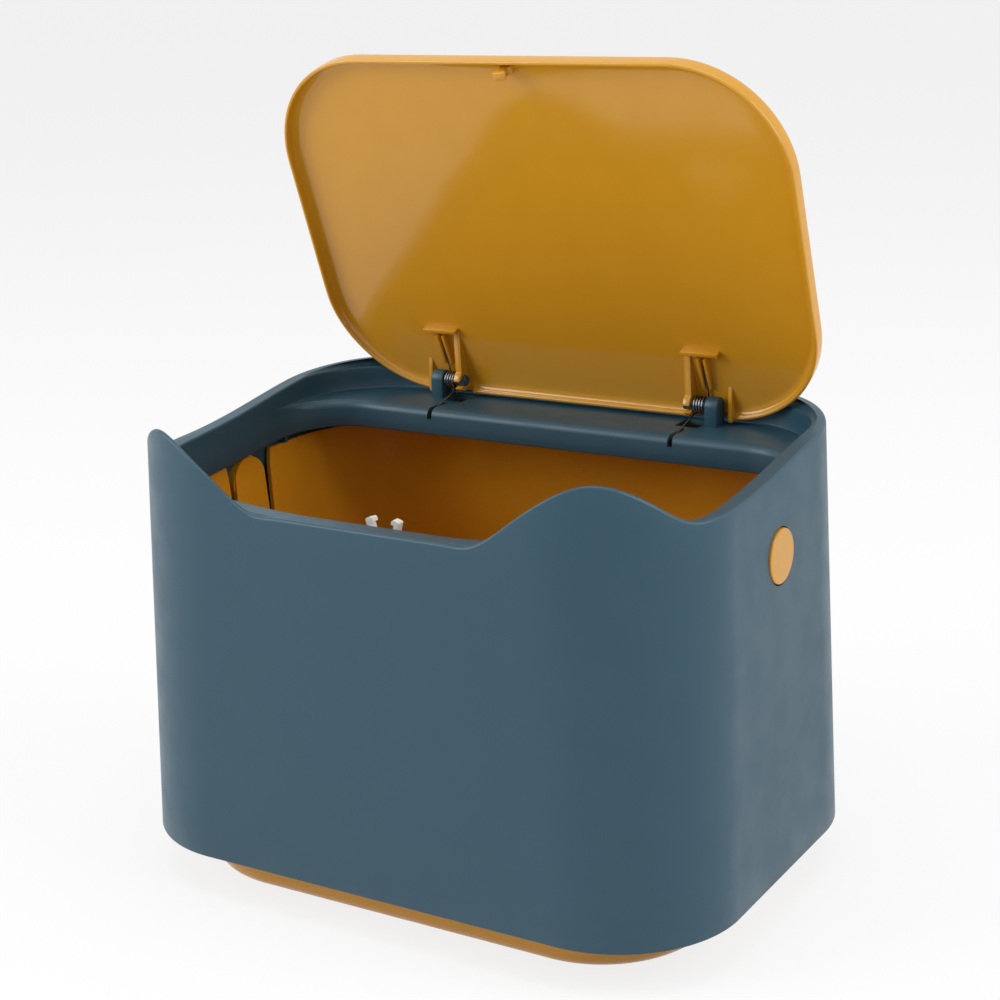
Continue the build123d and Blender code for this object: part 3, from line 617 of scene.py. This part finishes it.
def node_tree(name, inputs):
    """Empty geometry tree with named inputs, its two ends and a last step that sets the material."""
    tree = bpy.data.node_groups.new(name, "GeometryNodeTree")
    tree.interface.new_socket("Geometry", in_out="INPUT", socket_type="NodeSocketGeometry")
    for word, kind, start in inputs:
        socket = tree.interface.new_socket(word, in_out="INPUT", socket_type="NodeSocket" + kind)
        socket.default_value = start
    tree.interface.new_socket("Finish", in_out="INPUT", socket_type="NodeSocketMaterial")
    tree.interface.new_socket("Geometry", in_out="OUTPUT", socket_type="NodeSocketGeometry")
    given = tree.nodes.new("NodeGroupInput")
    real = tree.nodes.new("GeometryNodeRealizeInstances")
    paint = tree.nodes.new("GeometryNodeSetMaterial")
    result = tree.nodes.new("NodeGroupOutput")
    tree.links.new(real.outputs["Geometry"], paint.inputs["Geometry"])
    tree.links.new(given.outputs["Finish"], paint.inputs["Material"])
    tree.links.new(paint.outputs["Geometry"], result.inputs["Geometry"])
    return tree, given, real


def grown(tree, points, edges, values, sizes=None):
    """Plain mesh that a geometry tree makes from points or a line in millimetres."""
    mesh = bpy.data.meshes.new(tree.name)
    mesh.from_pydata([[c * MM for c in point] for point in points], edges, [])
    if sizes is not None:
        stored = mesh.attributes.new("size", "FLOAT_VECTOR", "POINT")
        stored.data.foreach_set("vector", [c * MM for size in sizes for c in size])
    source = bpy.data.objects.new(tree.name, mesh)
    scene.collection.objects.link(source)
    modifier = source.modifiers.new("grow", "NODES")
    modifier.node_group = tree
    for item in tree.interface.items_tree:
        if item.item_type == "SOCKET" and item.in_out == "INPUT" and item.name in values:
            modifier[item.identifier] = values[item.name]
    shaped = source.evaluated_get(bpy.context.evaluated_depsgraph_get())
    made = bpy.data.meshes.new_from_object(shaped)
    source.modifiers.clear()
    bpy.data.objects.remove(source)
    return mended(made)


def rib_tree():
    """One upright rib on each point, as large as the point's own size says."""
    tree, given, real = node_tree("rest_ribs", [("Side", "Float", 1.0)])
    nodes, links = tree.nodes, tree.links
    spots = nodes.new("GeometryNodeMeshToPoints")
    rib = nodes.new("GeometryNodeMeshCube")
    edge = nodes.new("ShaderNodeCombineXYZ")
    size = nodes.new("GeometryNodeInputNamedAttribute")
    size.data_type = "FLOAT_VECTOR"
    size.inputs["Name"].default_value = "size"
    spread = nodes.new("GeometryNodeInstanceOnPoints")
    for axis in ("X", "Y", "Z"):
        links.new(given.outputs["Side"], edge.inputs[axis])
    links.new(edge.outputs["Vector"], rib.inputs["Size"])
    links.new(given.outputs["Geometry"], spots.inputs["Mesh"])
    links.new(spots.outputs["Points"], spread.inputs["Points"])
    links.new(rib.outputs["Mesh"], spread.inputs["Instance"])
    links.new(size.outputs["Attribute"], spread.inputs["Scale"])
    links.new(spread.outputs["Instances"], real.inputs["Geometry"])
    return tree


def rest_ribs():
    """Eight ribs in the channel under the rim, which carry the shell on the bucket's rim."""
    foot, thick, side_x, end_x = 169.3, 2.4, 131.3, 38.0
    side_width, front_width, rear_width = 4.6, 8.0, 3.6
    spots, sizes = [], []
    for side in (-1, 1):
        for y, top in ((-30.0, 185.0), (30.0, 192.5)):
            spots.append((side * side_x, y, (foot + top) / 2))
            sizes.append((side_width, thick, top - foot))
        for y, top, width in ((-92.4, 174.6, front_width), (91.4, 198.5, rear_width)):
            spots.append((side * end_x, y, (foot + top) / 2))
            sizes.append((thick, width, top - foot))
    return grown(rib_tree(), spots, [], {"Side": 1.0, "Finish": shell_blue}, sizes)


def latch_boss():
    """Block behind the front collar that the latch is screwed to."""
    half_width, front, rear, foot, top = 17.0, -88.0, -83.7, 149.0, 166.0
    return block(-half_width, half_width, front, rear, foot, top, bevel=0.8)


HINGE_Y, HINGE_Z = 78.0, 195.5
button_place, hole_radius, hole_points = (2.0, 157.0), 12.1, 96
inside_wall, outside_wall = 133.0, 140.5
slot_x, slot_y, slot_depth = (60.9, 63.3), (MOUTH_BACK - 1, MOUTH_BACK + 15.0), 5.0
pocket_x, pocket_y, pocket_depth = (55.6, 66.8), (HINGE_Y - 8.0, HINGE_Y + 6.0), 3.4
knuckle_x, knuckle_radius, knuckle_foot = (68.3, 74.5), 4.3, SHELF - 1.2
shell_sharp = 50.0
shell = piece("shell_body", swept("shell_body", shell_rows()), shell_blue, shell_sharp)
openings, additions = [], [rest_ribs()]
for side in (-1, 1):
    last = 2 * math.pi * (hole_points - 1) / hole_points
    button_hole = arc_points(button_place, hole_radius, 0, last, hole_points)
    openings.append(slab(button_hole, "x", side * inside_wall, side * outside_wall))
    for (x0, x1), ys, depth in ((slot_x, slot_y, slot_depth), (pocket_x, pocket_y, pocket_depth)):
        openings.append(block(side * x0, side * x1, *ys, SHELF - depth, SHELF + 1))
    knuckle = [(HINGE_Y - knuckle_radius, knuckle_foot), (HINGE_Y + knuckle_radius, knuckle_foot)]
    knuckle += arc_points((HINGE_Y, HINGE_Z), knuckle_radius, 0, math.pi, 25)
    additions.append(slab(knuckle, "x", side * knuckle_x[0], side * knuckle_x[1], bevel=0.5))
additions.append(latch_boss())
cut(shell, openings)
join(shell, additions)
smoothed(shell, shell_sharp)
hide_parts("outer_shell")
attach(shell, "shell")

# Lid
# A shallow yellow tray, moulded and glossy, raised on its hinge: a flat plate with a thin lip all
# round, two clip-on arms with their ribs, and a striker hook that the latch catches.
# It is drawn closed, in millimetres from the hinge axis with its front edge ahead, then opened.
LID_X, LID_FRONT, LID_REAR, LID_CORNER = 125.0, 162.6, -8.3, 50.6
LIP_PLANE, LID_TOP, PLATE_UNDER = -0.95, 7.35, 4.85
RIB_ROOT = PLATE_UNDER + 0.5
ARM_INNER, ARM_OUTER = 58.2, 61.4
lid_yellow = finish(
    "lid_plastic",
    (214, 155, 40),
    (208, 148, 34),
    sheen=(0.09, 0.13),
    grain=0.02,
    wave=0.05,
    specular=0.55,
)
open_angle = math.radians(69.9)
to_open = (
    Matrix.Translation((0, HINGE_Y * MM, HINGE_Z * MM))
    @ Matrix.Rotation(math.pi, 4, "Z")
    @ Matrix.Rotation(open_angle, 4, "X")
)


def lid_ring(inset, w):
    """Outline of the tray, set in from its edge, at a height over the hinge axis."""
    corner = LID_CORNER - inset
    counts = (30, 32, 24, 32, 30)
    return stacked(plan(LID_X - inset, LID_REAR + inset, LID_FRONT - inset, corner, corner, counts), w)


def lid_rows():
    """Rows of the tray's section from the middle of its top, over the lip and in again below."""
    top_round, lip, lip_round, flat, inner_fillet = 2.5, 1.7, 0.7, 0.3, 3.6
    rise_start, rise_run, rear_rise, least_lip = 50.0, 58.0, 3.0, 0.9
    middle, border = 12.0, 4.0
    plane = LIP_PLANE + rear_rise * eased((rise_start - lid_ring(0, 0)[:, 1]) / rise_run)
    hollow = np.minimum(inner_fillet, PLATE_UNDER - plane - least_lip)
    rows = [lid_ring(middle, LID_TOP), lid_ring(border, LID_TOP)]
    for a in np.radians(np.linspace(90, 0, 8)):
        rows.append(lid_ring(top_round * (1 - math.cos(a)), LID_TOP - top_round * (1 - math.sin(a))))
    rows.append(lid_ring(0, (plane + LID_TOP) / 2))
    for a in np.radians(np.linspace(0, 90, 5)):
        rows.append(lid_ring(lip_round * (1 - math.cos(a)), plane + lip_round * (1 - math.sin(a))))
    for a in np.radians(np.linspace(90, 0, 5)):
        inset = lip - lip_round * (1 - math.cos(a))
        rows.append(lid_ring(inset, plane + lip_round * (1 - math.sin(a))))
    for a in np.radians(np.linspace(0, 90, 9)):
        inset = lip + flat + inner_fillet * (1 - math.cos(a))
        rows.append(lid_ring(inset, PLATE_UNDER - hollow * (1 - math.sin(a))))
    rows.append(lid_ring(middle, PLATE_UNDER))
    return rows


def hinge_arm():
    """Side view of an arm: a gusset that ends in a clip round the hinge stub."""
    clip, bore, gate, front, gusset_angle = 5.0, 2.58, 1.8, 26.0, math.radians(-12.5)
    jaw, lead = math.acos(gate / clip), math.acos(gate / bore)
    loop = [(front, RIB_ROOT), (-clip, RIB_ROOT)]
    loop += arc_points((0, 0), clip, math.pi, math.pi + jaw, 10)
    loop += arc_points((0, 0), bore, math.pi + lead, -lead, 25)
    loop += arc_points((0, 0), clip, -jaw, gusset_angle, 8)
    return loop


def striker_hook():
    """Front view of the hook: a neck with a head that the jaws close under."""
    wide, neck, shoulder, tip = 3.0, 1.8, -2.55, -5.15
    neck_rise, root_rise, head_edge = 3.65, 4.85, 0.9
    half = [
        (wide, RIB_ROOT),
        (wide, shoulder + root_rise),
        (neck, shoulder + neck_rise),
        (neck, shoulder),
        (wide, shoulder),
        (wide, shoulder - head_edge),
        (neck, tip),
    ]
    return half + [(-x, w) for x, w in reversed(half)]


def end_rib():
    """Side view of the rib that closes the notch at an arm's outer side."""
    rear, foot, front = LID_REAR + 0.9, LID_REAR + 2.5, 9.0
    return [(rear, LIP_PLANE), (foot, LIP_PLANE), (front, RIB_ROOT), (rear, RIB_ROOT)]


def leg_guide():
    """Side view of a rib beside the spring's leg, deeper towards the front."""
    rear, front, shallow, deep = 6.5, 22.5, PLATE_UNDER - 1.7, PLATE_UNDER - 3.4
    return [(rear, shallow), (front, deep), (front, RIB_ROOT), (rear, RIB_ROOT)]


hook_rear, hook_front = 155.8, 159.2
notch_x, notch_depth, end_rib_width = (56.6, 77.2), 3.0, 2.0
guide_places, guide_width = (65.2, 68.5), 1.5
stop_end, stop_rear, stop_front, stop_depth = 76.0, 24.2, 26.0, 3.6
lid_sharp = 32.0
lid = piece("lid_tray", swept("lid_tray", lid_rows(), closed=False), lid_yellow, lid_sharp)
openings, additions = [], [slab(striker_hook(), "y", hook_rear, hook_front, bevel=0.2)]
for side in (-1, 1):
    notch = (LID_REAR - 1, LID_REAR + notch_depth, LIP_PLANE - 1, PLATE_UNDER - 0.01)
    openings.append(block(side * notch_x[0], side * notch_x[1], *notch))
    additions.append(slab(hinge_arm(), "x", side * ARM_INNER, side * ARM_OUTER, bevel=0.25))
    rib_end = notch_x[1] + end_rib_width
    additions.append(slab(end_rib(), "x", side * notch_x[1], side * rib_end, bevel=0.3))
    stop = (stop_rear, stop_front, PLATE_UNDER - stop_depth, RIB_ROOT)
    additions.append(block(side * ARM_INNER, side * stop_end, *stop, bevel=0.3))
    for start in guide_places:
        end = start + guide_width
        additions.append(slab(leg_guide(), "x", side * start, side * end, bevel=0.25))
cut(lid, openings)
join(lid, additions)
lid.data.transform(to_open)
smoothed(lid, lid_sharp)
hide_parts("lid")
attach(lid, "lid")

# Hinge stubs
# Two short round stubs that stand out of the knuckles and carry the lid's clips. They are moulded in
# one with the shell, in its blue plastic, and keep the solids' own shapes.
dress(shell_blue, "hinge_pin_left", "hinge_pin_right")

# Hinge springs
# Two torsion springs of bright drawn wire, coiled round the stubs. One leg of each lies in a slot
# of the shelf and the other between two ribs of the lid, which they hold up.
spring_steel = finish(
    "spring_steel", (150, 150, 150), (120, 120, 122), sheen=(0.16, 0.26), grain=0.1, metallic=1.0
)


def wire_tree():
    """A drawn line gets the body of a round wire with closed ends."""
    tree, given, real = node_tree("round_wire", [("Wire Radius", "Float", 0.0004), ("Sides", "Int", 16)])
    nodes, links = tree.nodes, tree.links
    line = nodes.new("GeometryNodeMeshToCurve")
    ring = nodes.new("GeometryNodeCurvePrimitiveCircle")
    body = nodes.new("GeometryNodeCurveToMesh")
    body.inputs["Fill Caps"].default_value = True
    links.new(given.outputs["Geometry"], line.inputs["Mesh"])
    links.new(given.outputs["Sides"], ring.inputs["Resolution"])
    links.new(given.outputs["Wire Radius"], ring.inputs["Radius"])
    links.new(line.outputs["Curve"], body.inputs["Curve"])
    links.new(ring.outputs["Curve"], body.inputs["Profile Curve"])
    links.new(body.outputs["Mesh"], real.inputs["Geometry"])
    return tree


round_wire = wire_tree()


def spring(name, points, radius):
    """Piece of round wire along points in millimetres, in place of the solid of its name."""
    edges = [(i, i + 1) for i in range(len(points) - 1)]
    values = {"Wire Radius": radius * MM, "Sides": 20, "Finish": spring_steel}
    made = piece(name + "_wire", grown(round_wire, points, edges, values), spring_steel, sharp=50)
    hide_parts(name)
    return made


hinge_wire_radius = 0.4


def hinge_spring_line(side):
    """Middle line of a hinge spring: leg in the shelf, four turns, leg against the lid."""
    coil, pitch, turns, upper_leg, steps = 3.65, 1.3, 4, 19.0, 240
    arm_gap, leg_inset, leg_depth = 0.3, 2.0, 2.0
    foot = Vector((MOUTH_BACK + leg_inset - HINGE_Y, SHELF - leg_depth - HINGE_Z))
    start = math.atan2(foot.y, foot.x) + math.acos(coil / foot.length)
    total = math.pi / 2 - open_angle - start + 2 * math.pi * turns
    lower_leg = math.sqrt(foot.length**2 - coil**2)
    low, high = (start, -lower_leg), (start + total, upper_leg)
    line = []
    for i in range(steps + 1):
        a = start + total * i / steps
        along = pitch * total / (2 * math.pi) * i / steps
        line.append((along, coil * math.cos(a), coil * math.sin(a)))
    legs = []
    for (a, leg), at in ((low, line[0]), (high, line[-1])):
        legs.append((at[0], at[1] - leg * math.sin(a), at[2] + leg * math.cos(a)))
    line = [legs[0]] + line + [legs[1]]
    first_x = ARM_OUTER + arm_gap + hinge_wire_radius
    return [(side * (first_x + x), HINGE_Y + y, HINGE_Z + z) for x, y, z in line]


for side, word in ((-1, "left"), (1, "right")):
    coil = spring(f"hinge_spring_{word}", hinge_spring_line(side), hinge_wire_radius)
    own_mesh(coil)
    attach(coil, "shell")

# Latch housing
# The case of the push latch, a white moulding that is open at its top. Two screws hold it to the
# boss behind the front collar. The solid's own shape is kept.
latch_white = finish(
    "latch_plastic", (222, 222, 216), (214, 214, 208), sheen=(0.3, 0.4), grain=0.1
)
dress(latch_white, "latch_housing")

# Latch plunger and jaws
# Three white mouldings. The plunger slides down in the housing, and its two jaws turn with it and
# close on the lid's hook as it goes. The solids' own shapes are kept.
dress(latch_white, "latch_plunger", "latch_jaw_left", "latch_jaw_right")

# Latch pins
# Two small steel rods that the jaws turn on, and one bent steel wire that guides the plunger in its
# groove. They are pressed into the plunger and the housing and keep the solids' own shapes.
dress(spring_steel, "latch_jaw_pins", "latch_guide_pin")

# Latch spring
# A short compression spring of fine wire between the housing's floor and the plunger's bore, which
# pushes the plunger up.
LATCH_Y = -78.0


def latch_spring_line():
    """Middle line of the latch spring: five even turns about the latch's upright axis."""
    coil, turns, foot, head, steps = 1.25, 5, 147.15, 156.4, 200
    line = []
    for i in range(steps + 1):
        a = 2 * math.pi * turns * i / steps
        height = foot + (head - foot) * i / steps
        line.append((-coil * math.cos(a), LATCH_Y + coil * math.sin(a), height))
    return line


latch_wire_radius, spring_seat, pressed_share = 0.25, 0.1469, 0.64
coil = spring("latch_spring", latch_spring_line(), latch_wire_radius)
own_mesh(coil)
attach(coil, "shell")

# Screws
# Two zinc-plated pan-head screws with a cross recess, driven through the housing's ears into the
# boss behind the collar.
screw_steel = finish(
    "screw_steel", (176, 178, 178), (150, 152, 154), sheen=(0.24, 0.34), grain=0.1, metallic=1.0
)


def screw_tree():
    """One screw on each point, its head towards the back, cut from a flat dome."""
    inputs = (
        ("Head Radius", "Float", 0.0023),
        ("Head Height", "Float", 0.0015),
        ("Shank Radius", "Float", 0.0012),
        ("Shank Length", "Float", 0.0062),
    )
    tree, given, real = node_tree("pan_head_screws", inputs)
    nodes, links = tree.nodes, tree.links

    def moved(source, shift=None, turned=None, scaled=None):
        """Next step of a shape, shifted, turned or scaled by values or by another node's output."""
        step = nodes.new("GeometryNodeTransform")
        links.new(source, step.inputs["Geometry"])
        for word, value in (("Translation", shift), ("Rotation", turned), ("Scale", scaled)):
            if isinstance(value, tuple):
                step.inputs[word].default_value = value
            elif value is not None:
                links.new(value, step.inputs[word])
        return step.outputs["Geometry"]

    ball = nodes.new("GeometryNodeMeshUVSphere")
    ball.inputs["Segments"].default_value = 48
    ball.inputs["Rings"].default_value = 24
    ball.inputs["Radius"].default_value = 1.0
    dome = nodes.new("ShaderNodeCombineXYZ")
    for axis, word in (("X", "Head Radius"), ("Y", "Head Radius"), ("Z", "Head Height")):
        links.new(given.outputs[word], dome.inputs[axis])
    head = nodes.new("GeometryNodeMeshBoolean")
    head.operation = "DIFFERENCE"
    links.new(moved(ball.outputs["Mesh"], scaled=dome.outputs["Vector"]), head.inputs["Mesh 1"])
    lower_side, bar_size, bar_height, shank_drop = 0.01, (0.003, 0.0007, 0.002), 0.0018, -0.49
    lower, bar = nodes.new("GeometryNodeMeshCube"), nodes.new("GeometryNodeMeshCube")
    lower.inputs["Size"].default_value = (lower_side, lower_side, lower_side)
    bar.inputs["Size"].default_value = bar_size
    links.new(moved(lower.outputs["Mesh"], (0, 0, -lower_side / 2)), head.inputs["Mesh 2"])
    for angle in (0, math.pi / 2):
        recess = moved(bar.outputs["Mesh"], (0, 0, bar_height), (0, 0, angle))
        links.new(recess, head.inputs["Mesh 2"])
    shank = nodes.new("GeometryNodeMeshCylinder")
    shank.inputs["Vertices"].default_value = 32
    links.new(given.outputs["Shank Radius"], shank.inputs["Radius"])
    links.new(given.outputs["Shank Length"], shank.inputs["Depth"])
    half = nodes.new("ShaderNodeMath")
    half.operation = "MULTIPLY"
    half.inputs[1].default_value = shank_drop
    links.new(given.outputs["Shank Length"], half.inputs[0])
    down = nodes.new("ShaderNodeCombineXYZ")
    links.new(half.outputs[0], down.inputs["Z"])
    whole = nodes.new("GeometryNodeJoinGeometry")
    links.new(head.outputs["Mesh"], whole.inputs["Geometry"])
    links.new(moved(shank.outputs["Mesh"], down.outputs["Vector"]), whole.inputs["Geometry"])
    spots = nodes.new("GeometryNodeMeshToPoints")
    spread = nodes.new("GeometryNodeInstanceOnPoints")
    laid = moved(whole.outputs["Geometry"], turned=(-math.pi / 2, 0, 0))
    links.new(given.outputs["Geometry"], spots.inputs["Mesh"])
    links.new(spots.outputs["Points"], spread.inputs["Points"])
    links.new(laid, spread.inputs["Instance"])
    links.new(spread.outputs["Instances"], real.inputs["Geometry"])
    return tree


seat_x, seat_y, seat_z = 13.2, -81.5, 157.5
seats = [(side * seat_x, seat_y, seat_z) for side in (-1, 1)]
screw_mesh = grown(screw_tree(), seats, [], {"Finish": screw_steel})
screws = piece("latch_screw_pair", screw_mesh, screw_steel, sharp=32)
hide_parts("latch_screws")
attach(screws, "shell")
